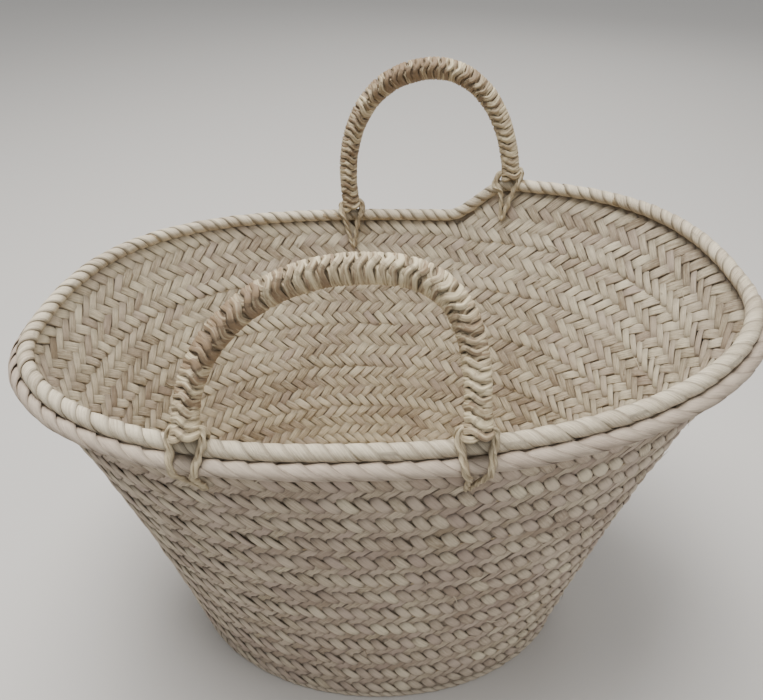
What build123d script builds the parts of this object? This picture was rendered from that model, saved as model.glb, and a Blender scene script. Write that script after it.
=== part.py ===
from build123d import *
import math
import os

# A soft market basket of plaited palm leaf, in millimetres, +Z up.
# Origin: centre of the underside of the base.  +X runs along the long way of
# the mouth, +Y towards the wall that flares most (the back).
# Angles run anticlockwise round the basket from +X, in degrees.

# ---- overall size --------------------------------------------------------
MOUTH_LEFT = 238.0            # from the origin to the top roll's centre line
MOUTH_RIGHT = 242.0
MOUTH_FRONT = 131.0
MOUTH_BACK = 207.0
MOUTH_CENTRE_X = -9.0         # where the mouth is deepest
MOUTH_CENTRE_Y = -10.0        # where the mouth is longest
MOUTH_SQUARENESS = 2.4        # 2 is an ellipse
BASE_HALF_LENGTH = 169.0      # outside of the foot ring
BASE_HALF_DEPTH = 121.0
RIM_HEIGHT = 306.0            # mean height of the top roll's centre line
RIM_RISE_ENDS = 11.5          # both ends stand higher than the long sides
RIM_RISE_RIGHT = 9.5          # the right end stands higher than the left
RIM_STEP = 33.0               # what the rim climbs in one turn of the spiral
WALL_CONCAVITY = 5.0

# ---- plait ---------------------------------------------------------------
PLAIT_THICKNESS = 5.0
FULL_WALL_COURSES = 6         # above the wedge that the wall starts from
SPIRAL_START = 77.0           # where the plait starts up the wall
TAPER_SPAN = 13.0             # over which the rim steps down to where its turn began
SPARE_COURSE = 0.26           # what the last turn keeps, as a share of a course, where it ends
WEDGE_START = 30.0            # how far round the first wedge is wide enough to sew
BASE_COURSES = 2.75           # widths of plait from the middle of the base to its edge
SEAM_CORD_WIDTH = 1.8
SEAM_CORD_THICKNESS = 2.4
SEAM_CLEARANCE = 0.25
END_CLEARANCE = 0.2           # between the ends of two turns, along the turn

# ---- rolled edges --------------------------------------------------------
TOP_ROLL_DIAMETER = 11.4
OUTER_ROLL_DIAMETER = 10.2
FOOT_RING_DIAMETER = 6.0
BINDING_THICKNESS = 1.2       # the leaf wound round each roll
OUTER_ROLL_LEAST_DROP = 4.0   # down the wall from the top roll's centre line
ROLL_CLEARANCE = 0.2
ROLL_PAIR_CLEARANCE = 0.6     # between the two rolls, which cross slopes differently
TOP_EDGE_CLEARANCE = 1.3      # the wall's edge leans, so its inner corner stands higher
WRAP_CLEARANCE = 0.1          # between a core and what is wound round it
ROLL_JOIN = 70.5              # where each roll's two ends butt

# ---- handles -------------------------------------------------------------
HANDLE_LEG_DIAMETER = 16.0
HANDLE_CROWN_DIAMETER = 18.6
HANDLE_CORE_DIAMETER = 10.0
SWING_CLEARANCE = 0.4         # between a handle's foot and the top roll
FRONT_FOOT_X = (-109.0, 55.0)
FRONT_ARCH_HEIGHT = 88.5      # from the feet to the crown's centre line
FRONT_ARCH_SQUARENESS = 2.35
FRONT_LEAN = 35.0             # from upright, towards +Y
FRONT_SKEW = 20.0             # how far the crown stands to the right
FRONT_SKEW_POWER = 2.0        # 1 leans the whole arch, 2 mostly its crown
BACK_FOOT_X = (-28.0, 117.0)
BACK_ARCH_HEIGHT = 101.0
BACK_ARCH_SQUARENESS = 2.2
BACK_LEAN = 6.0
BACK_SKEW = 10.0
BACK_SKEW_POWER = 1.0

# ---- lashings ------------------------------------------------------------
LASHING_DIAMETER = 3.0
LASHING_BEND_DIAMETER = 3.4   # the cord is fuller where it bends
LASHING_KNOT_DIAMETER = 4.4   # where two strands meet
EYE_CLEARANCE = 0.05          # radial, round the cord in the handle's foot
EYE_STAND_OFF = 1.5           # from a handle's foot to each strand
LASHING_GAP = 0.4             # between a strand and the rolls or the wall
OUTER_TIP_DROP = 27.0         # down the wall to the tip of the V outside
INNER_TIP_DROP = 22.0         # and inside
OUTER_TURNS = (40.0, 5.0, -30.0)   # degrees up round the outer roll, where the strands bend
INNER_TURNS = (145.0, 180.0)       # and round the top roll, inside

# ---- how finely the shapes are lofted ------------------------------------
SECTIONS_PER_TURN = 45
SECTIONS_PER_TAPER = 5
ARCH_SECTIONS = 29
FOOT_SECTIONS = 4
ROUND_END_REACH = 80.0        # degrees of each rounded end that the loft covers
STRAND_SAG = 0.17             # of a roll's radius, for a strand to cut the corner between two points

FULL_TURN = 360.0
TOP_ROLL_RADIUS = TOP_ROLL_DIAMETER / 2
OUTER_ROLL_RADIUS = OUTER_ROLL_DIAMETER / 2
FOOT_RING_RADIUS = FOOT_RING_DIAMETER / 2
HALF_PLAIT = PLAIT_THICKNESS / 2
LASHING_RADIUS = LASHING_DIAMETER / 2
LEG_RADIUS = HANDLE_LEG_DIAMETER / 2
EYE_HALF_SPREAD = LEG_RADIUS + LASHING_RADIUS + EYE_STAND_OFF
CORE_RADIUS = HANDLE_CORE_DIAMETER / 2
WALL_TURNS = FULL_WALL_COURSES + 1
BASE_TURNS = math.floor(BASE_COURSES)
UP = Vector(0, 0, 1)


# ---- the shape of the basket ---------------------------------------------
def signed_power(value, exponent):
    return math.copysign(abs(value) ** exponent, value)


def outward(angle):
    return Vector(math.cos(math.radians(angle)), math.sin(math.radians(angle)), 0)


def turn_share(angle):
    """How much of its turn the spiral has made at this angle, from 0 to 1."""
    return ((angle - SPIRAL_START) % FULL_TURN) / FULL_TURN


def top_share(angle):
    """The same for the top edge, which eases back to 0 where the last end tapers."""
    share = turn_share(angle)
    taper_from = 1 - TAPER_SPAN / FULL_TURN
    if share <= taper_from:
        return share
    through = (share - taper_from) / (1 - taper_from)
    return taper_from * (1 + math.cos(math.pi * through)) / 2


def rim_point(angle):
    """A point of the top roll's centre line."""
    c = math.cos(math.radians(angle))
    s = math.sin(math.radians(angle))
    reach_x = MOUTH_RIGHT - MOUTH_CENTRE_X if c > 0 else MOUTH_LEFT + MOUTH_CENTRE_X
    reach_y = MOUTH_BACK - MOUTH_CENTRE_Y if s > 0 else MOUTH_FRONT + MOUTH_CENTRE_Y
    x = MOUTH_CENTRE_X + reach_x * signed_power(c, 2 / MOUTH_SQUARENESS)
    y = MOUTH_CENTRE_Y + reach_y * signed_power(s, 2 / MOUTH_SQUARENESS)
    rise = RIM_RISE_ENDS * math.cos(math.radians(2 * angle)) + RIM_RISE_RIGHT * c
    return Vector(x, y, RIM_HEIGHT + rise + RIM_STEP * (top_share(angle) - 0.5))


def rim_steepness(angle):
    """How much taller than level a roll stands where the rim slopes."""
    tangent = (rim_point(angle + 0.25) - rim_point(angle - 0.25)).normalized()
    return 1 / math.hypot(tangent.X, tangent.Y)


def oval_point(inset, angle, height):
    """A point of the base oval, drawn in by inset from the outside of the foot ring."""
    x = (BASE_HALF_LENGTH - inset) * math.cos(math.radians(angle))
    y = (BASE_HALF_DEPTH - inset) * math.sin(math.radians(angle))
    return Vector(x, y, height)


def top_edge_drop(angle):
    """From the top roll's centre line down to the wall's top edge."""
    return TOP_ROLL_RADIUS * rim_steepness(angle) + TOP_EDGE_CLEARANCE


def foot_edge(angle):
    """The middle of the wall's lower edge, high enough for its leaning corner to clear the foot ring."""
    seat = FOOT_RING_RADIUS + ROLL_CLEARANCE
    level_foot = oval_point(seat, angle, FOOT_RING_RADIUS + seat)
    climb = (rim_point(angle) - level_foot).normalized()
    corner_out = HALF_PLAIT * climb.Z - ROLL_CLEARANCE
    corner_drop = HALF_PLAIT * math.sqrt(1 - climb.Z ** 2)
    lift = corner_drop + math.sqrt(max(0, seat ** 2 - corner_out ** 2)) - seat
    return level_foot + UP * max(0, lift)


def wall_point(angle, level):
    """A point of the wall's middle surface, from level 0 at the foot to 1 under the top roll."""
    foot = foot_edge(angle)
    top = rim_point(angle) - UP * top_edge_drop(angle)
    hollow = WALL_CONCAVITY * 4 * level * (1 - level)
    return foot * (1 - level) + top * level - outward(angle) * hollow


def wall_normal(angle, level):
    """The wall's outward normal."""
    step_angle, step_level = 0.5, 0.01
    along = wall_point(angle + step_angle, level) - wall_point(angle - step_angle, level)
    climb = wall_point(angle, level + step_level) - wall_point(angle, level - step_level)
    return along.cross(climb).normalized()


def seam_level(seam, angle):
    """Where a seam of the spiral lies on the wall at this angle."""
    return (seam + turn_share(angle)) / courses_high(angle)


def courses_high(angle):
    """How many widths of plait the wall is high at this angle."""
    return FULL_WALL_COURSES + SPARE_COURSE + (1 - SPARE_COURSE) * top_share(angle)


def slant_share(distance, angle):
    """A distance up the wall as a difference of level."""
    return distance / (wall_point(angle, 1) - wall_point(angle, 0)).length


def turn_angles(start, finish):
    """Angles for the sections of one loft, closer together along each taper."""
    tapers = [(SPIRAL_START + turn - TAPER_SPAN, SPIRAL_START + turn) for turn in (0, FULL_TURN, 2 * FULL_TURN)]
    marks = {mark for taper in tapers for mark in taper if start < mark < finish}
    stops = sorted(marks | {start, finish})
    angles = [start]
    for low, high in zip(stops, stops[1:]):
        tapered = any(first <= (low + high) / 2 <= last for first, last in tapers)
        pace = TAPER_SPAN / SECTIONS_PER_TAPER if tapered else FULL_TURN / SECTIONS_PER_TURN
        count = math.ceil((high - low) / pace)
        angles += [low + (high - low) * i / count for i in range(1, count + 1)]
    return angles


def end_gap(angle):
    """The clearance between two turns' ends as an angle."""
    return math.degrees(END_CLEARANCE / oval_point(0, angle, 0).length)


# ---- solids from sections -------------------------------------------------
def loft_sections(wires):
    return Solid.make_loft(wires, ruled=False)


def strip_of_wall(low_level, high_level, start, finish, thickness):
    """A band of the wall between two levels, each a function of the angle."""
    wires = []
    for angle in turn_angles(start, finish):
        low, high = low_level(angle), high_level(angle)
        half = wall_normal(angle, (low + high) / 2) * (thickness / 2)
        bottom, top = wall_point(angle, low), wall_point(angle, high)
        corners = [bottom - half, bottom + half, top + half, top - half]
        wires.append(Wire.make_polygon(corners, close=True))
    return loft_sections(wires)


def strip_of_base(low_share, high_share, start, finish, bottom, top):
    """A band of the flat base between two shares of the way out to its edge."""
    inner, outer = [], []
    for angle in turn_angles(start, finish):
        inner.append(base_point(low_share(angle))(angle) + UP * bottom)
        outer.append(base_point(high_share(angle))(angle) + UP * bottom)
    sides = [Edge.make_spline(inner), Edge.make_spline(outer)]
    ends = [Edge.make_line(inner[0], outer[0]), Edge.make_line(inner[-1], outer[-1])]
    return Solid.extrude(Face(Wire(sides + ends)), UP * (top - bottom))


def base_point(share):
    """The point at a share of the way from the base's middle line to its edge."""
    inset = FOOT_RING_DIAMETER + ROLL_CLEARANCE
    depth = BASE_HALF_DEPTH - inset
    middle_line = BASE_HALF_LENGTH - BASE_HALF_DEPTH

    def at(angle):
        x = (middle_line + depth * share) * math.cos(math.radians(angle))
        return Vector(x, depth * share * math.sin(math.radians(angle)), 0)

    return at


def circle_at(centre, direction, radius):
    side = direction.cross(UP)
    side = side.normalized() if side.length > 1e-6 else Vector(1, 0, 0)
    return Wire.make_circle(radius, Plane(origin=centre, x_dir=side, z_dir=direction))


def open_ring(path, radius):
    """A round bar along a closed path, with its two ends butted at the join."""
    gap = end_gap(ROLL_JOIN)
    wires = []
    start, finish = ROLL_JOIN + gap, ROLL_JOIN + FULL_TURN - gap
    for angle in turn_angles(start, finish):
        tangent = (path(angle + 0.25) - path(angle - 0.25)).normalized()
        wires.append(circle_at(path(angle), tangent, radius))
    return loft_sections(wires)


def core_and_binding(path, diameter):
    """A rolled edge: the bundle inside and the leaf wound round it."""
    core_radius = diameter / 2 - BINDING_THICKNESS
    binding = open_ring(path, diameter / 2) - open_ring(path, core_radius + WRAP_CLEARANCE)
    return open_ring(path, core_radius), binding.solid()


# ---- base -----------------------------------------------------------------
def base_seam(seam, angle):
    """Where a seam of the spiral lies on the base, as a share of the way out."""
    inside_first = BASE_COURSES - BASE_TURNS
    return min(1.0, (inside_first + seam + turn_share(angle)) / BASE_COURSES)


def base_gap():
    return (SEAM_CORD_WIDTH / 2 + SEAM_CLEARANCE) / BASE_HALF_DEPTH


def make_base_centre():
    start = SPIRAL_START + end_gap(SPIRAL_START)
    finish = SPIRAL_START + FULL_TURN - end_gap(SPIRAL_START)
    edge = []
    for angle in turn_angles(start, finish):
        edge.append(base_point(base_seam(0, angle) - base_gap())(angle))
    outline = Wire([Edge.make_spline(edge), Edge.make_line(edge[-1], edge[0])])
    return Solid.extrude(Face(outline), UP * PLAIT_THICKNESS)


def make_base_turn(turn):
    start = SPIRAL_START + end_gap(SPIRAL_START)
    finish = SPIRAL_START + FULL_TURN - end_gap(SPIRAL_START)
    if turn == BASE_TURNS:
        finish = SPIRAL_START + FULL_TURN - WEDGE_START

    def inner(angle):
        return base_seam(turn - 1, angle) + base_gap()

    def outer(angle):
        return base_seam(turn, angle) - (base_gap() if turn < BASE_TURNS else 0)

    return strip_of_base(inner, outer, start, finish, 0, PLAIT_THICKNESS)


def make_base_seam_cord(seam):
    start = SPIRAL_START + end_gap(SPIRAL_START)
    finish = SPIRAL_START + FULL_TURN - end_gap(SPIRAL_START)
    if seam == BASE_TURNS:
        finish = SPIRAL_START + FULL_TURN - WEDGE_START
    half = SEAM_CORD_WIDTH / 2 / BASE_HALF_DEPTH
    low = (PLAIT_THICKNESS - SEAM_CORD_THICKNESS) / 2

    def inner(angle):
        return base_seam(seam - 1, angle) - half

    def outer(angle):
        return base_seam(seam - 1, angle) + half

    return strip_of_base(inner, outer, start, finish, low, low + SEAM_CORD_THICKNESS)


# ---- wall -----------------------------------------------------------------
def make_wall_turn(turn):
    """Turn 1 is the wedge that the wall starts from; the last one ends as a narrow strip."""
    start = SPIRAL_START + end_gap(SPIRAL_START)
    finish = SPIRAL_START + FULL_TURN - end_gap(SPIRAL_START)
    gap = SEAM_CORD_WIDTH / 2 + SEAM_CLEARANCE

    def low(angle):
        return seam_level(turn - 2, angle) + slant_share(gap, angle) if turn > 1 else 0.0

    def high(angle):
        return seam_level(turn - 1, angle) - slant_share(gap, angle) if turn < WALL_TURNS else 1.0

    if turn == 1:
        start = SPIRAL_START + WEDGE_START
    return strip_of_wall(low, high, start, finish, PLAIT_THICKNESS)


def make_seam_cord(seam):
    start = SPIRAL_START + end_gap(SPIRAL_START)
    finish = SPIRAL_START + FULL_TURN - end_gap(SPIRAL_START)
    if seam == 1:
        start = SPIRAL_START + WEDGE_START

    def low(angle):
        return seam_level(seam - 1, angle) - slant_share(SEAM_CORD_WIDTH / 2, angle)

    def high(angle):
        return seam_level(seam - 1, angle) + slant_share(SEAM_CORD_WIDTH / 2, angle)

    return strip_of_wall(low, high, start, finish, SEAM_CORD_THICKNESS)


# ---- rolled edges ----------------------------------------------------------
def outer_roll_point(angle):
    """Centre line of the second roll, outside the wall and against the top roll."""
    normal = wall_normal(angle, 1)
    up_wall = (UP - normal * UP.dot(normal)).normalized()
    stand_off = HALF_PLAIT + ROLL_CLEARANCE + OUTER_ROLL_RADIUS
    reach = stand_off - normal.dot(UP) * top_edge_drop(angle)
    apart = TOP_ROLL_RADIUS + OUTER_ROLL_RADIUS + ROLL_PAIR_CLEARANCE
    drop = math.sqrt(max(apart ** 2 - reach ** 2, OUTER_ROLL_LEAST_DROP ** 2))
    return rim_point(angle) + normal * reach - up_wall * (drop * rim_steepness(angle))


def foot_ring_point(angle):
    return oval_point(FOOT_RING_RADIUS, angle, FOOT_RING_RADIUS)


# ---- handles ---------------------------------------------------------------
def rim_angle_at(x, side):
    """The angle at which the rim passes this X, on the back (side 1) or the front (side -1)."""
    reach = MOUTH_RIGHT - MOUTH_CENTRE_X if x > MOUTH_CENTRE_X else MOUTH_LEFT + MOUTH_CENTRE_X
    c = signed_power((x - MOUTH_CENTRE_X) / reach, MOUTH_SQUARENESS / 2)
    return side * math.degrees(math.acos(c))


class Handle:
    """An arch of rope whose rounded feet turn on the cords that lash them to the rim."""

    def __init__(self, foot_x, side, height, squareness, lean, skew, skew_power):
        self.height, self.squareness = height, squareness
        self.skew, self.skew_power = skew, skew_power
        self.angles = [rim_angle_at(x, side) for x in foot_x]
        lift = UP * (TOP_ROLL_RADIUS + SWING_CLEARANCE + LEG_RADIUS)
        self.feet = [rim_point(angle) + lift for angle in self.angles]
        self.middle = (self.feet[0] + self.feet[1]) / 2
        self.axis = (self.feet[1] - self.feet[0]).normalized()
        self.half_span = (self.feet[1] - self.feet[0]).length / 2
        upright = Vector(0, math.sin(math.radians(lean)), math.cos(math.radians(lean)))
        self.rise = (upright - self.axis * upright.dot(self.axis)).normalized()

    def centre(self, share):
        """A point of the rope's centre line, from the left foot at 0 to the right one at 1."""
        turn = math.pi * (1 - share)
        across = signed_power(math.cos(turn), 2 / self.squareness)
        up = max(0.0, math.sin(turn)) ** (2 / self.squareness)
        sideways = self.half_span * across + self.skew * up ** self.skew_power
        return self.middle + self.axis * sideways + self.rise * (self.height * up)

    def foot_end(self, foot, radius):
        """The sections of one rounded end, from its tip to the middle of the foot."""
        wires = []
        for i in range(FOOT_SECTIONS):
            roll = math.radians(ROUND_END_REACH * (1 - i / FOOT_SECTIONS))
            centre = foot - self.rise * (radius * math.sin(roll))
            wires.append(circle_at(centre, self.rise, radius * math.cos(roll)))
        wires.append(circle_at(foot, self.rise, radius))
        return wires

    def rope(self, leg_radius, crown_radius):
        """The arch as one loft, rounded about the middle of each foot."""
        shares = [i / (ARCH_SECTIONS - 1) for i in range(ARCH_SECTIONS)]
        points = [self.centre(share) for share in shares]
        wires = self.foot_end(self.feet[0], leg_radius)
        for i in range(1, ARCH_SECTIONS - 1):
            tangent = (points[i + 1] - points[i - 1]).normalized()
            swell = math.sin(math.pi * shares[i]) ** 2
            wires.append(circle_at(points[i], tangent, leg_radius + (crown_radius - leg_radius) * swell))
        last = self.foot_end(self.feet[1], leg_radius)
        return loft_sections(wires + last[::-1])

    def eyes(self):
        """The bores in both feet, along the axis that the handle turns on."""
        radius = LASHING_RADIUS + EYE_CLEARANCE
        length = 2 * (LEG_RADIUS + SWING_CLEARANCE)
        return [
            Solid.make_cylinder(radius, length, Plane(origin=foot - self.axis * (length / 2), z_dir=self.axis))
            for foot in self.feet
        ]

    def core(self):
        return self.rope(CORE_RADIUS, CORE_RADIUS) - self.eyes()

    def wrap(self):
        hollow = self.rope(CORE_RADIUS + WRAP_CLEARANCE, CORE_RADIUS + WRAP_CLEARANCE)
        return self.rope(LEG_RADIUS, HANDLE_CROWN_DIAMETER / 2) - hollow - self.eyes()


# ---- lashings ---------------------------------------------------------------
def strand(points):
    """A run of cord through these points, with a small lump at each bend."""
    pieces = []
    for start, finish in zip(points, points[1:]):
        run = finish - start
        pieces.append(Solid.make_cylinder(LASHING_RADIUS, run.length, Plane(origin=start, z_dir=run.normalized())))
    return pieces + [ball(point, LASHING_BEND_DIAMETER) for point in points[1:-1]]


def ball(centre, diameter):
    return Solid.make_sphere(diameter / 2, angle1=-90, angle2=90, angle3=360).moved(Location(tuple(centre)))


def beside(path, angle, distance):
    """The angle at this distance along a path from another angle, towards +X when positive."""
    run = path(angle + 0.5) - path(angle - 0.5)
    return angle + math.copysign(distance / run.length, run.X * distance)


def around(path, place, radius, turn):
    """A point at this turn round a roll, measured up from straight outwards."""
    normal = wall_normal(place, 1)
    out = Vector(normal.X, normal.Y, 0).normalized()
    lift = radius * rim_steepness(place) * math.sin(math.radians(turn))
    return path(place) + out * (radius * math.cos(math.radians(turn))) + UP * lift


def wall_side_point(angle, drop, side):
    """A point clear of the wall's outer (side 1) or inner (side -1) face, this far down it."""
    level = 1 - slant_share(drop, angle)
    stand_off = HALF_PLAIT + LASHING_GAP + LASHING_KNOT_DIAMETER / 2
    return wall_point(angle, level) + wall_normal(angle, level) * (side * stand_off)


def make_lashing(handle, end):
    """Cord through one foot of a handle, drawn down to a V on both faces of the wall."""
    foot, angle, axis = handle.feet[end], handle.angles[end], handle.axis
    outer_radius = OUTER_ROLL_RADIUS * (1 + STRAND_SAG) + LASHING_GAP + LASHING_BEND_DIAMETER / 2
    inner_radius = TOP_ROLL_RADIUS * (1 + STRAND_SAG) + LASHING_GAP + LASHING_BEND_DIAMETER / 2
    routes = (
        (outer_roll_point, outer_radius, OUTER_TURNS, wall_side_point(angle, OUTER_TIP_DROP, 1)),
        (rim_point, inner_radius, INNER_TURNS, wall_side_point(angle, INNER_TIP_DROP, -1)),
    )
    pin_start = foot - axis * EYE_HALF_SPREAD
    pieces = [Solid.make_cylinder(LASHING_RADIUS, 2 * EYE_HALF_SPREAD, Plane(origin=pin_start, z_dir=axis))]
    for side in (-1, 1):
        eye_end = foot + axis * (side * EYE_HALF_SPREAD)
        for path, radius, turns, tip in routes:
            points = [eye_end]
            for i, turn in enumerate(turns):
                spread = side * EYE_HALF_SPREAD * (1 - i / (len(turns) + 1))
                points.append(around(path, beside(path, angle, spread), radius, turn))
            pieces += strand(points + [tip])
        pieces.append(ball(eye_end, LASHING_KNOT_DIAMETER))
    pieces += [ball(routes[0][3], LASHING_KNOT_DIAMETER), ball(routes[1][3], LASHING_KNOT_DIAMETER)]
    return pieces[0].fuse(*pieces[1:])


def main():
    os.makedirs("parts", exist_ok=True)
    nodes = {"base_centre": make_base_centre()}
    for turn in range(1, BASE_TURNS + 1):
        nodes[f"base_turn_{turn}"] = make_base_turn(turn)
        nodes[f"base_seam_cord_{turn}"] = make_base_seam_cord(turn)
    for turn in range(1, WALL_TURNS + 1):
        nodes[f"wall_turn_{turn}"] = make_wall_turn(turn)
    for seam in range(1, WALL_TURNS):
        nodes[f"wall_seam_cord_{seam}"] = make_seam_cord(seam)
    for name, path, diameter in (
        ("top_roll", rim_point, TOP_ROLL_DIAMETER),
        ("outer_roll", outer_roll_point, OUTER_ROLL_DIAMETER),
        ("foot_ring", foot_ring_point, FOOT_RING_DIAMETER),
    ):
        nodes[f"{name}_core"], nodes[f"{name}_binding"] = core_and_binding(path, diameter)
    for name, handle in (("front", FRONT_HANDLE), ("back", BACK_HANDLE)):
        nodes[f"{name}_handle_core"] = handle.core()
        nodes[f"{name}_handle_wrap"] = handle.wrap()
        nodes[f"{name}_left_lashing"] = make_lashing(handle, 0)
        nodes[f"{name}_right_lashing"] = make_lashing(handle, 1)
    for name, shape in nodes.items():
        export_step(shape, f"parts/{name}.step")


FRONT_HANDLE = Handle(
    FRONT_FOOT_X, -1, FRONT_ARCH_HEIGHT, FRONT_ARCH_SQUARENESS, FRONT_LEAN, FRONT_SKEW, FRONT_SKEW_POWER
)
BACK_HANDLE = Handle(
    BACK_FOOT_X, 1, BACK_ARCH_HEIGHT, BACK_ARCH_SQUARENESS, BACK_LEAN, BACK_SKEW, BACK_SKEW_POWER
)

if __name__ == "__main__":
    main()
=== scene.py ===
import itertools
import math

import bmesh
import bpy
import numpy as np
from mathutils import Matrix, Vector


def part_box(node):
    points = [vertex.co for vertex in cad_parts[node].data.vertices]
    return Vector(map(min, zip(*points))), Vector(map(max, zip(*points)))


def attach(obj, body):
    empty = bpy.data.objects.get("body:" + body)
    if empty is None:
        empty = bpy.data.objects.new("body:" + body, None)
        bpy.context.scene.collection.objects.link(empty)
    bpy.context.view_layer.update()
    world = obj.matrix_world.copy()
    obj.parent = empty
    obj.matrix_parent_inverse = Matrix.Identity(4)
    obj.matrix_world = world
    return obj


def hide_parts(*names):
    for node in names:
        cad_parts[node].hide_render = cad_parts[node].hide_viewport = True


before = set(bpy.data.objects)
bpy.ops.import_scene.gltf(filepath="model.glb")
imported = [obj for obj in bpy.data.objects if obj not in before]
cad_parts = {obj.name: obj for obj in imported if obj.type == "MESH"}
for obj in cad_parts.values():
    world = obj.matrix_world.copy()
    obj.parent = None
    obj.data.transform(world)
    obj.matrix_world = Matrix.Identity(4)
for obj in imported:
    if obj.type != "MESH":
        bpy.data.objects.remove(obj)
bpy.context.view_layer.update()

bl_info = {
    "name": "Palm leaf basket",
    "version": (1, 0, 0),
    "blender": (4, 5, 0),
    "location": "3D View > Sidebar > Basket",
    "description": "A market basket of plaited palm leaf with two rope handles",
    "category": "Object",
}

# All lengths are metres and all angles radians, with the basket's long way along X.
# A place round the basket is a "turn": 0 where the plait starts up the wall, 1 after
# one full turn of the spiral, anticlockwise seen from above.
MM = 0.001
UP = np.array((0.0, 0.0, 1.0))
FULL_TURN = 2 * math.pi
BASKET, FRONT, BACK = "basket", "front_handle", "back_handle"

FULL_COURSES = 6              # of the wall, above the wedge that it starts from
WALL_TURNS = FULL_COURSES + 1
SPARE_COURSE = 0.26           # of a course, above the last full one where the rim steps
BASE_COURSES = 2.75
BASE_TURNS = 2
ROWS = 4                      # rows of leaf floats in one course of plait
TURN_STEP = 0.0007            # for slopes found by differences
LEVEL_STEP = 0.01
TOP_EDGE_GAP = 1.3 * MM       # between the top roll and the wall's edge
ROLL_GAP = 0.6 * MM           # between the two rolls
FOOT_GAP = 0.2 * MM           # between the foot ring and the plait
OUTER_ROLL_STAND_OFF = 2.7 * MM   # from the wall's middle surface
LEAST_ROLL_DROP = 4 * MM      # of the outer roll below the top one
BASE_LEVEL = 2.8 * MM         # of the base's middle surface


# ---- sizes and colours that a user may change ----
def distance(name, description, default):
    return bpy.props.FloatProperty(
        name=name, description=description, default=default, precision=4, subtype="DISTANCE", unit="LENGTH"
    )


def angle(name, description, degrees):
    return bpy.props.FloatProperty(
        name=name, description=description, default=math.radians(degrees), subtype="ANGLE", unit="ROTATION"
    )


def number(name, description, default):
    return bpy.props.FloatProperty(name=name, description=description, default=default)


def colour(name, description, default):
    return bpy.props.FloatVectorProperty(
        name=name, description=description, default=default, size=3, min=0.0, max=1.0, subtype="COLOR"
    )


top_roll_low, top_roll_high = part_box("top_roll_binding")
foot_low, foot_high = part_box("foot_ring_binding")
TOP_ROLL_RADIUS = 5.7 * MM
FOOT_RING_THICKNESS = foot_high[2] - foot_low[2]
REACH = "From the origin to the top roll"


class BasketForm(bpy.types.PropertyGroup):
    """The shape of the mouth, the base and the rolls"""

    mouth_left: distance("Mouth, left", REACH, -top_roll_low[0] - TOP_ROLL_RADIUS)
    mouth_right: distance("Mouth, right", REACH, top_roll_high[0] - TOP_ROLL_RADIUS)
    mouth_front: distance("Mouth, front", REACH, -top_roll_low[1] - TOP_ROLL_RADIUS)
    mouth_back: distance("Mouth, back", REACH, top_roll_high[1] - TOP_ROLL_RADIUS)
    centre_x: distance("Deepest place", "Where along the mouth it is deepest", -0.009)
    centre_y: distance("Longest place", "Where across the mouth it is longest", -0.010)
    squareness: number("Squareness", "Of the mouth; 2 is an ellipse", 2.4)
    base_length: distance("Base half length", "Outside of the foot ring", foot_high[0])
    base_depth: distance("Base half depth", "Outside of the foot ring", foot_high[1])
    rim_height: distance("Rim height", "Mean height of the top roll's middle", 0.306)
    rise_ends: distance("Rise of the ends", "How much higher the mouth's ends stand", 0.0115)
    rise_right: distance("Rise of the right", "How much higher the right end stands", 0.0095)
    rim_step: distance("Step of the rim", "What the rim climbs in one turn", 0.033)
    hollow: distance("Hollow of the wall", "How far the wall bows inwards", 0.005)
    spiral_start: angle("Spiral start", "Where the plait starts up the wall", 77.0)
    taper_span: angle("Taper", "Over which the plait's last end runs out", 13.0)
    outer_roll_radius: distance("Outer roll radius", "Of the second roll", 0.0051)
    top_roll_radius: distance("Top roll radius", "Of the upper roll", TOP_ROLL_RADIUS)
    foot_ring_radius: distance("Foot ring radius", "Of the roll round the base", FOOT_RING_THICKNESS / 2)


class PlaitLook(bpy.types.PropertyGroup):
    """The size and the colours of the plaited leaf"""

    leaf_pitch: distance("Leaf pitch", "From one leaf float to the next along a course", 0.0108)
    leaf_thickness: distance("Leaf thickness", "Of one folded strip of leaf", 0.0005)
    light: colour("Light leaf", "The palest leaf", (0.71, 0.62, 0.45))
    dark: colour("Dark leaf", "The brownest leaf", (0.285, 0.215, 0.14))
    blush: colour("Blush", "The pinkish grey of weathered leaf", (0.45, 0.345, 0.285))


class HandleForm(bpy.types.PropertyGroup):
    """The arch of one handle"""

    foot_left: distance("Left foot", "Place of the left foot along X", -0.109)
    foot_right: distance("Right foot", "Place of the right foot along X", 0.055)
    height: distance("Arch height", "From the feet to the crown", 0.0885)
    squareness: number("Squareness", "Of the arch; 2 is an ellipse", 2.35)
    lean: angle("Lean", "From upright, towards the back", 35.0)
    skew: distance("Skew", "How far the crown stands to the right", 0.020)
    skew_power: number("Skew power", "1 leans the whole arch, 2 mostly its crown", 2.0)
    brown_at: number("Brown patch", "Where the cord is browner, as a share of its way along", 0.27)


class CordLook(bpy.types.PropertyGroup):
    """The cord that is wound round both handles"""

    pitch: distance("Turn pitch", "From one paired turn to the next on a handle", 0.0067)
    leg_radius: distance("Leg radius", "Of a handle near its feet", 0.0080)
    crown_radius: distance("Crown radius", "Of a handle at its crown", 0.0093)
    strand_width: distance("Strand width", "Of one strand, lying flat", 0.0047)
    strand_height: distance("Strand height", "Of one strand, standing", 0.0034)
    light: colour("Light cord", "The palest strand", (0.66, 0.555, 0.355))
    dark: colour("Dark cord", "The brownest strand", (0.23, 0.155, 0.085))


# ---- the basket's surfaces ----
def signed_power(value, exponent):
    return np.copysign(np.abs(value) ** exponent, value)


def unit(vectors):
    """The same directions with a length of 1."""
    return vectors / np.linalg.norm(vectors, axis=-1, keepdims=True)


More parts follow.
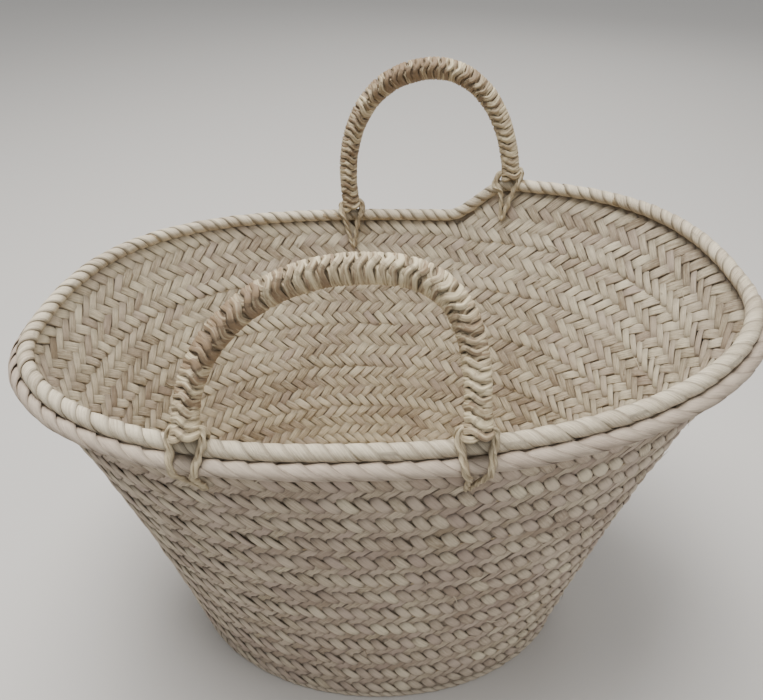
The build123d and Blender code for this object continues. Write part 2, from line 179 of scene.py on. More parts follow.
class Form:
    """The wall, the base and the lines of the rolls, each a function of the turn."""

    def __init__(self, form):
        self.form = form

    def heading(self, turn):
        return self.form.spiral_start + FULL_TURN * np.asarray(turn, dtype=float)

    def top_share(self, turn):
        """How far the rim has climbed: it eases back to 0 where the last end tapers."""
        share = np.asarray(turn, dtype=float) % 1.0
        taper_from = 1 - self.form.taper_span / FULL_TURN
        through = np.clip((share - taper_from) / (1 - taper_from), 0, 1)
        return np.where(share <= taper_from, share, taper_from * (1 + np.cos(np.pi * through)) / 2)

    def rim(self, turn):
        """The top roll's middle."""
        form, heading = self.form, self.heading(turn)
        c, s = np.cos(heading), np.sin(heading)
        reach_x = np.where(c > 0, form.mouth_right - form.centre_x, form.mouth_left + form.centre_x)
        reach_y = np.where(s > 0, form.mouth_back - form.centre_y, form.mouth_front + form.centre_y)
        x = form.centre_x + reach_x * signed_power(c, 2 / form.squareness)
        y = form.centre_y + reach_y * signed_power(s, 2 / form.squareness)
        rise = form.rise_ends * np.cos(2 * heading) + form.rise_right * c
        z = form.rim_height + rise + form.rim_step * (self.top_share(turn) - 0.5)
        return np.stack((x, y, z), axis=-1)

    def steepness(self, turn):
        """What a height beside the rim grows by where the rim slopes."""
        tangent = unit(self.rim(turn + TURN_STEP) - self.rim(turn - TURN_STEP))
        return 1 / np.hypot(tangent[..., 0], tangent[..., 1])

    def oval(self, inset, turn, height):
        """A line inside the foot ring's outside, at this height."""
        heading = self.heading(turn)
        x = (self.form.base_length - inset) * np.cos(heading)
        y = (self.form.base_depth - inset) * np.sin(heading)
        return np.stack((x, y, np.full_like(x, height)), axis=-1)

    def top_edge_drop(self, turn):
        """From the top roll's middle down to the wall's edge."""
        return self.form.top_roll_radius * self.steepness(turn) + TOP_EDGE_GAP

    def wall(self, turn, level):
        """The wall's middle surface, from level 0 at the foot to 1 under the top roll."""
        turn, level = np.broadcast_arrays(np.asarray(turn, dtype=float), level)
        radius = self.form.foot_ring_radius
        foot = self.oval(radius + FOOT_GAP, turn, 2 * radius + FOOT_GAP)
        top = self.rim(turn) - UP * self.top_edge_drop(turn)[..., None]
        heading = self.heading(turn)
        outward = np.stack((np.cos(heading), np.sin(heading), np.zeros_like(heading)), axis=-1)
        share = level[..., None]
        return foot * (1 - share) + top * share - outward * (self.form.hollow * 4 * share * (1 - share))

    def wall_normal(self, turn, level):
        along = self.wall(turn + 2 * TURN_STEP, level) - self.wall(turn - 2 * TURN_STEP, level)
        climb = self.wall(turn, level + LEVEL_STEP) - self.wall(turn, level - LEVEL_STEP)
        return unit(np.cross(along, climb))

    def wall_courses(self, turn):
        """How many widths of plait the wall is high."""
        return FULL_COURSES + SPARE_COURSE + (1 - SPARE_COURSE) * self.top_share(turn)

    def base(self, turn, share):
        """The base's middle surface, from its middle line at 0 to the foot ring at 1."""
        turn, share = np.broadcast_arrays(np.asarray(turn, dtype=float), share)
        form, heading = self.form, self.heading(turn)
        depth = form.base_depth - 2 * form.foot_ring_radius - FOOT_GAP
        x = (form.base_length - form.base_depth + depth * share) * np.cos(heading)
        y = depth * share * np.sin(heading)
        return np.stack((x, y, np.full_like(x, BASE_LEVEL)), axis=-1)

    def base_normal(self, turn, share):
        """Straight down, which is the base's outside."""
        return np.broadcast_to(-UP, np.broadcast_shapes(np.shape(turn), np.shape(share)) + (3,))

    def outer_roll(self, turn):
        """The outer roll's middle, beside the wall and just clear of the top roll."""
        form = self.form
        normal = self.wall_normal(turn, np.ones_like(turn))
        lift = normal[..., 2:3]
        up_wall = unit(UP - normal * lift)
        apart = form.top_roll_radius + form.outer_roll_radius + ROLL_GAP
        edge = lift * self.top_edge_drop(turn)[..., None]
        reach = OUTER_ROLL_STAND_OFF + form.outer_roll_radius - edge
        drop = np.sqrt(np.maximum(apart ** 2 - reach ** 2, LEAST_ROLL_DROP ** 2))
        return self.rim(turn) + normal * reach - up_wall * (drop * self.steepness(turn)[..., None])

    def foot_ring(self, turn):
        return self.oval(self.form.foot_ring_radius, turn, self.form.foot_ring_radius)


def lengths_along(points):
    """How far along the line each of its points is."""
    steps = np.linalg.norm(np.diff(points, axis=0), axis=1)
    return np.concatenate(([0.0], np.cumsum(steps)))


def column(values):
    """One value for each row, to go with what varies along the rows."""
    return values[:, None]


def stacked(*parts):
    """Three parts, each an array or a single value, as rows of three."""
    return np.stack(np.broadcast_arrays(*parts), axis=-1).reshape(-1, 3)


# ---- meshes ----
WELD_DISTANCE = 0.00001


def finished(bm, name):
    """A new mesh of what the bmesh holds."""
    mesh = bpy.data.meshes.new(name)
    bm.to_mesh(mesh)
    bm.free()
    return mesh


def slab(cells_along, cells_across):
    """A flat closed slab: X and Y run from -0.5 to 0.5, Z is 1 on top and 0 below."""
    bm = bmesh.new()
    bmesh.ops.create_grid(bm, x_segments=cells_along, y_segments=cells_across, size=0.5)
    bmesh.ops.solidify(bm, geom=bm.faces[:], thickness=1.0)
    low = min(vert.co.z for vert in bm.verts)
    bmesh.ops.translate(bm, verts=bm.verts, vec=(0, 0, -low))
    bmesh.ops.recalc_face_normals(bm, faces=bm.faces)
    return finished(bm, "slab")


def places_in(mesh):
    """The mesh's vertices, one row each."""
    places = np.empty(len(mesh.vertices) * 3)
    mesh.vertices.foreach_get("co", places)
    return places.reshape(-1, 3)


def tube_blank(cells_along, cells_around):
    """A flat sheet to be rolled up: X runs along the tube and Y once round it."""
    bm = bmesh.new()
    bmesh.ops.create_grid(bm, x_segments=cells_along, y_segments=cells_around, size=0.5)
    return finished(bm, "tube")


def set_attribute(mesh, name, values):
    attribute = mesh.attributes.new(name, "FLOAT_VECTOR", "POINT")
    attribute.data.foreach_set("vector", np.ascontiguousarray(values, dtype=np.float32).ravel())


def shape_mesh(mesh, places, leaf, tint):
    """Puts the vertices in place; leaf is (along, across, seed), tint is (lightness, blush, shade)."""
    mesh.vertices.foreach_set("co", np.ascontiguousarray(places, dtype=np.float32).ravel())
    set_attribute(mesh, "leaf", leaf)
    set_attribute(mesh, "tint", tint)
    mesh.update()


def close_tube(mesh):
    """Welds the long seam of a rolled sheet and caps its ends."""
    bm = bmesh.new()
    bm.from_mesh(mesh)
    bmesh.ops.remove_doubles(bm, verts=bm.verts, dist=WELD_DISTANCE)
    bmesh.ops.holes_fill(bm, edges=bm.edges, sides=0)
    bmesh.ops.recalc_face_normals(bm, faces=bm.faces)
    bm.to_mesh(mesh)
    bm.free()


def joined(meshes):
    """One mesh of all these, in their order."""
    bm = bmesh.new()
    for mesh in meshes:
        bm.from_mesh(mesh)
    return finished(bm, "joined")


def add_piece(name, mesh, body, material, replaced):
    """Makes the mesh a piece that rides on a body in place of the replaced node."""
    mesh.name = name
    mesh.shade_smooth()
    mesh.materials.clear()
    mesh.materials.append(material)
    piece = bpy.data.objects.new(name, mesh)
    bpy.context.scene.collection.objects.link(piece)
    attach(piece, body)
    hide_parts(replaced)


# ---- materials ----
class Wire:
    """An output socket; arithmetic on it adds Math nodes."""

    def __init__(self, graph, socket):
        self.graph, self.socket = graph, socket

    def math(self, operation, *values):
        """A Math node of these values, which may be wires or numbers."""
        return self.graph.node("ShaderNodeMath", {"operation": operation}, dict(enumerate(values)))

    def __add__(self, other):
        return self.math("ADD", self, other)

    def __sub__(self, other):
        return self.math("SUBTRACT", self, other)

    def __rsub__(self, other):
        return self.math("SUBTRACT", other, self)

    def __mul__(self, other):
        return self.math("MULTIPLY", self, other)

    __radd__, __rmul__ = __add__, __mul__

    def clamped(self):
        """Held between 0 and 1."""
        return self.graph.node("ShaderNodeClamp", {}, {0: self})


class Graph:
    """The nodes of one material."""

    def __init__(self, name):
        self.material = bpy.data.materials.new(name)
        self.material.use_nodes = True
        self.tree = self.material.node_tree
        self.tree.nodes.clear()

    def node(self, kind, settings, inputs, output=0):
        """A node with its settings and the wires or values of its inputs."""
        node = self.tree.nodes.new(kind)
        for key, value in settings.items():
            setattr(node, key, value)
        for key, value in inputs.items():
            if isinstance(value, Wire):
                self.tree.links.new(value.socket, node.inputs[key])
            else:
                node.inputs[key].default_value = value
        return Wire(self, node.outputs[output]) if node.outputs else None

    def attribute(self, name):
        """The three parts of an attribute of the mesh."""
        vector = self.node("ShaderNodeAttribute", {"attribute_name": name}, {}, "Vector")
        return [self.node("ShaderNodeSeparateXYZ", {}, {0: vector}, part) for part in range(3)]

    def noise(self, vector, scale, detail, roughness):
        inputs = {"Vector": vector, "Scale": scale, "Detail": detail, "Roughness": roughness}
        return self.node("ShaderNodeTexNoise", {}, inputs, "Fac")

    def vector(self, x, y, z):
        return self.node("ShaderNodeCombineXYZ", {}, {0: x, 1: y, 2: z})

    def object_place(self):
        return self.node("ShaderNodeTexCoord", {}, {}, "Object")

    def mix(self, share, low, high):
        """Colours mixed; a plain colour is a tuple of three."""
        low, high = [value if isinstance(value, Wire) else (*value, 1.0) for value in (low, high)]
        settings = {"data_type": "RGBA", "blend_type": "MIX", "clamp_factor": True}
        return self.node("ShaderNodeMix", settings, {"Factor": share, 6: low, 7: high}, 2)

    def surface(self, base, roughness, height, depth, sheen):
        """The shader, with a relief as deep as depth."""
        normal = self.node("ShaderNodeBump", {}, {"Strength": 1.0, "Distance": depth, "Height": height})
        inputs = {"Base Color": base, "Roughness": roughness, "Normal": normal, "Specular IOR Level": sheen}
        shader = self.node("ShaderNodeBsdfPrincipled", {}, inputs)
        self.node("ShaderNodeOutputMaterial", {}, {"Surface": shader})
        return self.material


FIBRE_DEPTH, CORE_DEPTH = 0.9 * MM, 0.4 * MM
LEAF_SHEEN, CORE_SHEEN = 0.35, 0.3
# Painted shade: the dark colour that the tint's shade mixes in, and how much of it.
PAINTED_SHADE_COLOUR, PAINTED_SHADE_STRENGTH = (0.075, 0.055, 0.038), 0.62


def leaf_material(name, light, dark, blush):
    """Dry palm leaf: long fibres, blotches, and painted shade where a strip goes under its neighbour."""
    graph = Graph(name)
    along, across, seed = graph.attribute("leaf")
    lightness, blushing, shade = graph.attribute("tint")
    fibre_place = graph.vector(along * 0.05, across * 1.1, seed * 90.0)
    fibres = graph.noise(fibre_place, scale=1.0, detail=4.0, roughness=0.62)
    thread_place = graph.vector(along * 0.12, across * 4.0, seed * 170.0)
    threads = graph.noise(thread_place, scale=1.0, detail=2.0, roughness=0.5)
    mottle_place = graph.vector(along * 0.22, across * 0.30, seed * 310.0)
    mottle = graph.noise(mottle_place, scale=1.0, detail=3.0, roughness=0.6)
    weather = graph.noise(graph.object_place(), scale=13.0, detail=3.0, roughness=0.55)
    tone = lightness + (fibres - 0.5) * 1.7 + (threads - 0.5) * 1.0 + (mottle - 0.5) * 0.7
    tone = (tone + (weather - 0.5) * 1.1).clamped()
    base = graph.mix(tone, dark, light)
    base = graph.mix((blushing + (mottle - 0.5) * 0.5).clamped() * 0.75, base, blush)
    # Painted shade: the colour darkens where the tint's shade is low.
    shaded_colour = graph.mix(PAINTED_SHADE_STRENGTH, base, PAINTED_SHADE_COLOUR)
    base = graph.mix(shade.clamped(), shaded_colour, base)
    roughness = 0.5 + fibres * 0.3
    height = fibres * 0.7 + threads * 0.3
    return graph.surface(base, roughness, height, FIBRE_DEPTH, LEAF_SHEEN)


MATERIALS = {}


def material(name):
    """The material of this name, made the first time it is asked for."""
    if name not in MATERIALS:
        plait, cord = bpy.context.scene.plait_look, bpy.context.scene.cord_look
        look = cord if name == "handle_cord" else plait
        MATERIALS[name] = leaf_material(name, tuple(look.light), tuple(look.dark), tuple(plait.blush))
    return MATERIALS[name]


def core_material(light, dark):
    """Bundled leaf and lacing cord, seen only deep between the strips."""
    graph = Graph("bundled_leaf")
    place = graph.object_place()
    fibres = graph.noise(place, scale=900.0, detail=3.0, roughness=0.6)
    patches = graph.noise(place, scale=60.0, detail=2.0, roughness=0.5)
    base = graph.mix((fibres * 0.9 + patches * 0.6 - 0.45).clamped(), dark, light)
    return graph.surface(base, 0.6 + fibres * 0.25, fibres, CORE_DEPTH, CORE_SHEEN)


# ---- plait ----
ALONG_CELLS, ACROSS_CELLS = 5, 4
END_CELLS, EDGE_CELLS = 0.8, 0.45      # less than 1 makes the last cells narrower
INNER_LINE = 0.499                     # a grid line past this is the slab's own edge
LEVEL_MARGIN = 0.004                   # a float nearer than this to the foot or the rim is left out
COURSE_OVERRUN, COURSE_SAMPLES = 0.06, 1345
EDGE_LEVEL, LEAST_LEVEL = 0.03, 0.001  # for a row that runs off the wall
LEAN_SPREAD = math.radians(3.0)
WIDTH_RANGE = (0.90, 1.08)             # of a float, as a share of the room it has
RUN_SPREAD, CLIMB_SPREAD = 0.3 * MM, 0.35 * MM
RISE_RANGE = (0.75, 1.3)
TILT = (0.12, 0.16)                    # mean and spread of how much one long edge stands up, in mm
CREASE_RANGE = (-0.3, 0.3)
CROWN_POWER, RISE_POWER = 1.8, 2.4     # higher is flatter in the middle
SIDE_TRIM, SIDE_POWER = 0.35, 2.5      # how a rounded float shortens towards its long edges
END_TRIM, END_POWER = 0.75, 3          # and narrows towards its ends
OUTSIDE_CENTRE, INSIDE_CENTRE = 0.6, 0.5   # of a float in its row
PATCH_LENGTH, PATCH_SPREAD = 45 * MM, 0.11
LEAF_TONE, ROW_TONE = (0.5, 0.19), (0, 0.05)
OUTSIDE_BLUSH, INSIDE_BLUSH, BLUSH_SPREAD = 0.55, 0.12, 0.25
ROUND_SHADE, FLAT_SHADE = 0.05, 0.18   # how far the shade of a tucked end reaches
FILLING_THICKNESS, FILLING_CELL, FILLING_ROWS = 1.4 * MM, 4 * MM, 8
COURSE_WIDTH = 46.0                    # mm
WALL_FACE, BASE_FACE = 0.9 * MM, 0.4 * MM   # of the lowest float, from the middle surface
STRAYS = 26                            # on each face of a course
STRAY_LENGTHS, STRAY_WIDTHS, STRAY_LIFTS = (5, 15), (0.5, 1.1), (0.4, 2.6)   # mm
STRAY_THICKNESS, STRAY_STAND_OFF = 0.25 * MM, 1.6 * MM
STRAY_HEADINGS, STRAY_BEND = (0.4, 1.0), (0, 0.6)
STRAY_LEVELS, STRAY_TONE = (0.02, 0.97), (0.8, 0.2)


class Float:
    """How the part of a strip that shows in one row lies, in millimetres and rows."""

    def __init__(self, lean, reach, tuck, rise, crown, rounding, tone):
        self.lean, self.reach, self.tuck = math.radians(lean), reach, tuck * MM
        self.rise, self.crown, self.rounding, self.tone = rise * MM, crown * MM, rounding, tone


# The outside row tones paint light and shade: the raised nubs are lighter and the tucked floats between them
# darker.
SEAM_NUB = Float(lean=52, reach=1.22, tuck=1.5, rise=1.35, crown=1.25, rounding=0.34, tone=0.24)
NUB = Float(lean=52, reach=1.22, tuck=1.5, rise=1.15, crown=1.10, rounding=0.34, tone=0.10)
TUCKED = Float(lean=44, reach=0.95, tuck=3.0, rise=0.45, crown=0.22, rounding=0.0, tone=-0.16)
SEAM_FLAT = Float(lean=45, reach=1.0, tuck=3.2, rise=1.30, crown=0.50, rounding=0.12, tone=0.44)
FLAT = Float(lean=45, reach=1.0, tuck=3.4, rise=0.95, crown=0.36, rounding=0.0, tone=0.14)
WALL_TOP = 1.008              # the leaf runs on a little, under the top roll
OUTSIDE_ROWS = (SEAM_NUB, TUCKED, NUB, TUCKED)
INSIDE_ROWS = (SEAM_FLAT, FLAT, FLAT, FLAT)


def edge_spread(values, share):
    """Moves the inner grid lines outwards, so that the last cells are narrow."""
    inner = np.abs(values) < INNER_LINE
    return np.where(inner, np.sign(values) * np.abs(2 * values) ** share / 2, values)


class Course:
    """One turn of plait: what it lies on, and where its rows come at each turn."""

    def __init__(self, surface, normal, level_at, face_offset, rows=ROWS, top=1.0):
        self.surface, self.normal, self.level_at = surface, normal, level_at
        self.face_offset, self.rows, self.top = face_offset, rows, top
        self.turns = np.linspace(-COURSE_OVERRUN, 1 + COURSE_OVERRUN, COURSE_SAMPLES)
        middle = surface(self.turns, np.clip(level_at(self.turns, ROWS / 2), 0.0, 1.0))
        run = lengths_along(middle)
        self.run = run - np.interp(0.0, self.turns, run)
        self.length = np.interp(1.0, self.turns, self.run)

    def row_height(self, turn, row):
        """How wide a row is up the surface, also where it runs off the edge."""
        low, high = self.level_at(turn, row), self.level_at(turn, row + 1.0)
        inside_low = np.clip(low, 0.0, 1 - EDGE_LEVEL)
        inside_high = np.clip(high, EDGE_LEVEL, 1.0)
        between = self.surface(turn, inside_high) - self.surface(turn, inside_low)
        rise = np.linalg.norm(between, axis=-1)
        return rise / np.maximum(inside_high - inside_low, LEAST_LEVEL) * (high - low)

    def turn_at(self, run):
        return np.interp(run, self.run, self.turns)

    def lay(self, turn, rows, height):
        """Places this many rows up and this high above the middle surface."""
        level = np.clip(self.level_at(turn, rows), 0.0, self.top)
        return self.surface(turn, level) + self.normal(turn, level) * height[..., None]


def drift(run, spacing, spread, chance):
    """A slow random change along a course."""
    knots = np.arange(int(run.max() / spacing) + 3) * spacing
    return np.interp(run, knots, chance.normal(0, spread, len(knots)))


def plait_row(course, row, style, side, pitch, look, template, chance):
    """The floats of one row: their places, leaf and tint, or None where the row has none."""
    u = edge_spread(template[:, 0], END_CELLS)[None, :]
    v = edge_spread(template[:, 1], EDGE_CELLS)[None, :]
    top = template[:, 2][None, :]
    run = (np.arange(round(course.length / pitch)) + 0.5 * (row % 2)) * pitch
    turn = course.turn_at(run)
    level = course.level_at(turn, row + 0.5)
    keep = (level > LEVEL_MARGIN) & (level < 1 - LEVEL_MARGIN)
    run, turn = run[keep], turn[keep]
    total = len(run)
    if not total:
        return None

    row_height = course.row_height(turn, row)
    slant = (1 if row % 2 else -1) * side
    lean = style.lean + chance.normal(0, LEAN_SPREAD, total)
    width = pitch * math.sin(style.lean) * chance.uniform(*WIDTH_RANGE, total)
    length = row_height * style.reach / math.sin(style.lean) + 2 * style.tuck
    along = u * column(length) * (1 - SIDE_TRIM * style.rounding * np.abs(2 * v) ** SIDE_POWER)
    across = v * column(width) * (1 - END_TRIM * style.rounding * np.abs(2 * u) ** END_POWER)
    cos, sin = column(np.cos(lean)), column(np.sin(lean))
    run_at = column(run) + column(chance.normal(0, RUN_SPREAD, total))
    run_at = run_at + along * cos - across * slant * sin
    climb = along * slant * sin + across * cos + column(chance.normal(0, CLIMB_SPREAD, total))

    rise = style.rise * column(chance.uniform(*RISE_RANGE, total))
    tilt = column(chance.normal(*TILT, total)) * MM
    crease = column(chance.uniform(*CREASE_RANGE, total))
    crown = style.crown * (1 - np.abs(2 * v - crease * (1 - np.abs(2 * v))) ** CROWN_POWER)
    bump = 1 - np.abs(2 * u) ** RISE_POWER
    height = course.face_offset + rise * bump + crown - tilt * 2 * v * slant * side
    height = height - look.leaf_thickness * (1 - top)
    rows_at = row + (OUTSIDE_CENTRE if side > 0 else INSIDE_CENTRE) + climb / column(row_height)
    places = course.lay(course.turn_at(run_at), rows_at, side * height).reshape(-1, 3)

    leaf = stacked(along / MM, across / MM, column(chance.uniform(0, 1, total)))
    tone = style.tone + drift(run, PATCH_LENGTH, PATCH_SPREAD, chance) + chance.normal(*LEAF_TONE, total)
    tone = tone + chance.normal(*ROW_TONE)
    usual_blush = OUTSIDE_BLUSH if side > 0 else INSIDE_BLUSH
    blush = np.clip(chance.normal(usual_blush, BLUSH_SPREAD, total), 0, 1)
    # Painted shade: darker along a float's long edges and darkest where its ends tuck under.
    edge = np.clip((0.5 - np.abs(v)) * 8, 0, 1)
    end_shade = ROUND_SHADE if style.rounding > 0.3 else FLAT_SHADE
    ends = np.clip((0.5 - np.abs(u)) * 4.2 - end_shade, 0, 1)
    shade = (0.3 + 0.7 * edge) * ends
    return places, leaf, stacked(column(tone), column(blush), shade)


def plait_face(course, side, styles, look, chance):
    """The floats of one face of a course; side is 1 outside and -1 inside."""
    blank = slab(ALONG_CELLS, ACROSS_CELLS)
    template = places_in(blank)
    pitch = course.length / max(6, round(course.length / look.leaf_pitch))
    rows = []
    for row in range(course.rows):
        made = plait_row(course, row, styles[row % ROWS], side, pitch, look, template, chance)
        if made:
            rows.append(made)
    places, leaf, tint = [np.concatenate(parts) for parts in zip(*rows)]
    mesh = joined([blank] * (len(places) // len(template)))
    shape_mesh(mesh, places, leaf, tint)
    return mesh


def plait_filling(course):
    """The crossed runs of leaf that the floats of both faces hide."""
    blank = slab(round(course.length / FILLING_CELL), FILLING_ROWS)
    template = places_in(blank)
    turn = course.turn_at((template[:, 0] + 0.5) * course.length)
    rows_at = (template[:, 1] + 0.5) * course.rows
    height = (template[:, 2] - 0.5) * FILLING_THICKNESS
    places = course.lay(turn, rows_at, height)
    leaf = stacked(template[:, 0] * course.length / MM, template[:, 1] * COURSE_WIDTH, 0.0)
    # Painted shade: the hidden filling is given a low shade, so it is darkened.
    shape_mesh(blank, places, leaf, stacked(0 * turn + 0.35, 0.3, 0.25))
    return blank


def loose_ends(course, side, chance):
    """Slivers of leaf that have sprung out of the plait."""
    blank = slab(6, 1)
    template = places_in(blank)
    u, v, top = [template[:, axis][None, :] for axis in range(3)]
    u = u + 0.5
    run = column(chance.uniform(0.01, 0.99, STRAYS)) * course.length
    row = column(chance.uniform(0.2, course.rows - 0.2, STRAYS))
    level = course.level_at(course.turn_at(run), row)[:, 0]
    keep = (level > STRAY_LEVELS[0]) & (level < STRAY_LEVELS[1])
    run, row = run[keep], row[keep]
    total = len(run)
    length = column(chance.uniform(*STRAY_LENGTHS, total)) * MM
    heading = column(chance.choice((-1, 1), total)) * column(chance.uniform(*STRAY_HEADINGS, total))
    bend = column(chance.normal(*STRAY_BEND, total))
    along = u * length
    across = v * column(chance.uniform(*STRAY_WIDTHS, total)) * MM * (1 - 0.8 * u)
    angle_at = heading + bend * u
    run_at = run + along * np.cos(angle_at) - across * np.sin(angle_at)
    climb = along * np.sin(angle_at) + across * np.cos(angle_at)
    lift = column(chance.uniform(*STRAY_LIFTS, total)) * MM
    height = course.face_offset + STRAY_STAND_OFF + lift * u ** 1.5 + (top - 1) * STRAY_THICKNESS
    turn = course.turn_at(run_at)
    rows_at = row + climb / course.row_height(turn, row)
    places = course.lay(turn, rows_at, side * height).reshape(-1, 3)
    leaf = stacked(along / MM, across / MM, column(chance.uniform(0, 1, total)))
    tone = column(chance.normal(*STRAY_TONE, total))
    mesh = joined([blank] * total)
    shape_mesh(mesh, places, leaf, stacked(tone, 0.2 + 0 * u, 0.8))
    return mesh


def wall_course(form, turn_number):
    """One turn of the wall's plait; the last has the two rows that end at the rim's step."""
    def level_at(turn, row):
        return (turn_number - 2 + turn + row / ROWS) / form.wall_courses(turn)

    rows = ROWS + (2 if turn_number == WALL_TURNS else 0)
    return Course(form.wall, form.wall_normal, level_at, WALL_FACE, rows, WALL_TOP)


def base_course(form, turn_number):
    """One turn of the base's plait; the last meets the foot ring."""
    def share_at(turn, row):
        return (BASE_COURSES - BASE_TURNS + turn_number - 1 + turn + row / ROWS) / BASE_COURSES

    return Course(form.base, form.base_normal, share_at, BASE_FACE)


class BASKET_OT_wall(bpy.types.Operator):
    """Plaits the wall, turn by turn"""

    bl_idname = "basket.wall"
    bl_label = "Wall"

    def execute(self, context):
        form, look = Form(context.scene.basket_form), context.scene.plait_look
        for number in range(1, WALL_TURNS + 1):
            chance = np.random.default_rng(100 + number)
            course = wall_course(form, number)
            outside = plait_face(course, 1, OUTSIDE_ROWS, look, chance)
            inside = plait_face(course, -1, INSIDE_ROWS, look, chance)
            strays = [loose_ends(course, side, chance) for side in (1, -1)]
            mesh = joined([outside, inside, plait_filling(course), *strays])
            add_piece(f"wall_plait_{number}", mesh, BASKET, material("plaited_leaf"),
                      f"wall_turn_{number}")
        return {"FINISHED"}


class BASKET_OT_base(bpy.types.Operator):
    """Plaits the base from its middle outwards"""

    bl_idname = "basket.base"
    bl_label = "Base"

    def execute(self, context):
        form, look = Form(context.scene.basket_form), context.scene.plait_look
        for number in range(BASE_TURNS + 1):
            chance = np.random.default_rng(200 + number)
            turns = (0, -1) if number == 0 else (number,)
            meshes = []
            for course in [base_course(form, turn) for turn in turns]:
                meshes += [plait_face(course, side, INSIDE_ROWS, look, chance) for side in (1, -1)]
                meshes.append(plait_filling(course))
            replaced = f"base_turn_{number}" if number else "base_centre"
            add_piece(f"base_plait_{number}", joined(meshes), BASKET,
                      material("plaited_leaf"), replaced)
        return {"FINISHED"}


# ---- rolled edges ----
AROUND_CELLS, BAND_CELLS = 16, 4
RING_SAMPLES = 2001
INSET = 1.45 * MM             # of a band's inner edge, from the roll's outside
LAP_RISE = 1.0                # mm from a band's inner edge up to the edge that lies on top
BAND_THICKNESS, PUFF = 0.5, 0.5 * MM
WOBBLE, SWELL_RANGE = 0.05, (-0.35, 0.35)
TURNS_OF_A_LEAF = 3.0         # before the next strip of leaf takes over
BAND_TONE, BAND_TONE_SPREAD = 0.72, 0.3


def ring_frame(path, turn):
    """The centre line, and the directions outwards and up across it."""
    tangent = unit(path(turn + TURN_STEP) - path(turn - TURN_STEP))
    out = unit(np.cross(tangent, UP))
    return path(turn), out, np.cross(out, tangent)


def wound_band(path, radius, pitch, starts, start, cover, flare, blush, chance):
    """One leaf band wound round a ring, each turn lapping over the edge of the next."""
    turns = np.linspace(0.0, 1.0, RING_SAMPLES)
    run = lengths_along(path(turns))
    laps = round(run[-1] / (pitch * starts))
    advance = run[-1] / laps
    blank = slab(laps * AROUND_CELLS, BAND_CELLS)
    template = places_in(blank)
    lap = (template[:, 0] + 0.5) * laps
    q = template[:, 1] + 0.5
    width = advance / starts * cover
    knots = np.arange(laps + 2)
    wobble = np.interp(lap, knots, chance.normal(0, WOBBLE * width, laps + 2))
    swell = np.interp(lap, knots, chance.uniform(*SWELL_RANGE, laps + 2)) * MM
    run_at = (lap + start / starts) * advance + wobble + (q - 0.5) * width
    turn = np.interp(run_at % run[-1], run, turns)
    phase = -FULL_TURN * lap
    centre, out, up = ring_frame(path, turn)
    puff = PUFF * np.sin(np.pi * q) ** 0.7
    loose = flare * q ** 2 * np.clip(np.sin(phase - 0.5), 0, 1) ** 2
    layer = (q * LAP_RISE + BAND_THICKNESS * (template[:, 2] - 1)) * MM
    reach = radius - INSET + layer + puff + swell * q + loose
    places = centre + column(reach) * (column(np.cos(phase)) * out + column(np.sin(phase)) * up)
    piece_of_leaf = np.floor((lap + chance.uniform(0, 3)) / TURNS_OF_A_LEAF).astype(int)
    seeds = chance.uniform(0, 1, laps + 4)
    leaf = stacked(lap * (FULL_TURN * radius) / MM, (q - 0.5) * width / MM, seeds[piece_of_leaf])
    tone = BAND_TONE + BAND_TONE_SPREAD * (seeds[::-1][piece_of_leaf] - 0.5)
    # Painted shade: darkest at the band's lower edge, which lies under the neighbouring lap, and a little at
    # its top edge.
    shade = np.clip(np.minimum(q * 5 - 0.3, (1 - q) * 14 + 0.2), 0, 1)
    shape_mesh(blank, places, leaf, stacked(tone, blush, shade))
    return blank


class BASKET_OT_rolls(bpy.types.Operator):
    """Winds leaf round the two rolls of the rim and the ring at the foot"""

    bl_idname = "basket.rolls"
    bl_label = "Rolled edges"

    def execute(self, context):
        sizes = context.scene.basket_form
        form = Form(sizes)
        # name, middle line, radius, pitch of a band in mm, bands, cover, flare in mm, blush, seed
        rolls = (
            ("top_roll", form.rim, sizes.top_roll_radius, 12.0, 2, 1.30, 0.3, 0.10, 301),
            ("outer_roll", form.outer_roll, sizes.outer_roll_radius, 15.5, 3, 1.35, 2.2, 0.75, 302),
            ("foot_ring", form.foot_ring, sizes.foot_ring_radius, 9.0, 2, 1.30, 0.2, 0.45, 303),
        )
        for name, path, radius, pitch, starts, cover, flare, blush, seed in rolls:
            chance = np.random.default_rng(seed)
            bands = [wound_band(path, radius, pitch * MM, starts, start, cover, flare * MM, blush, chance)
                     for start in range(starts)]
            slot = "pink_leaf_binding" if name == "outer_roll" else "leaf_binding"
            add_piece(f"{name}_leaf", joined(bands), BASKET, material("binding_leaf"),
                      f"{name}_binding")
        return {"FINISHED"}


# ---- handles ----
FOOT_LIFT = 8.4 * MM          # of a foot's middle above the top roll
FOOT_LENGTH = 7.0 * MM        # of the rope below the arch's feet
STRAND_AROUND, STRAND_ALONG = 14, 30
UNDER_AROUND, UNDER_ALONG = 16, 240
END_GAP = 1.0 * MM            # of the winding from the rope's ends
UNDER_DEPTH = 2.0 * MM        # of the first winding below the handle's outside
CROSSING = 0.26               # of a lap, over which the strands change places
CROSSING_SPREAD, CROSSING_WIDTH = 0.20, 0.16
CROSSING_LIFT = 1.1 * MM
COLLAR, COLLAR_LENGTH = 1.5 * MM, 6 * MM
DRIFT_SPREAD, DRIFT_SHARE = 0.25 * MM, 0.7
SIZE_RANGE = (0.88, 1.16)
BROWN_SPAN, BROWNING = 0.13, 0.75
CORD_TONE, CORD_TONE_SPREAD, CORD_BLUSH = 0.62, 0.95, 0.08


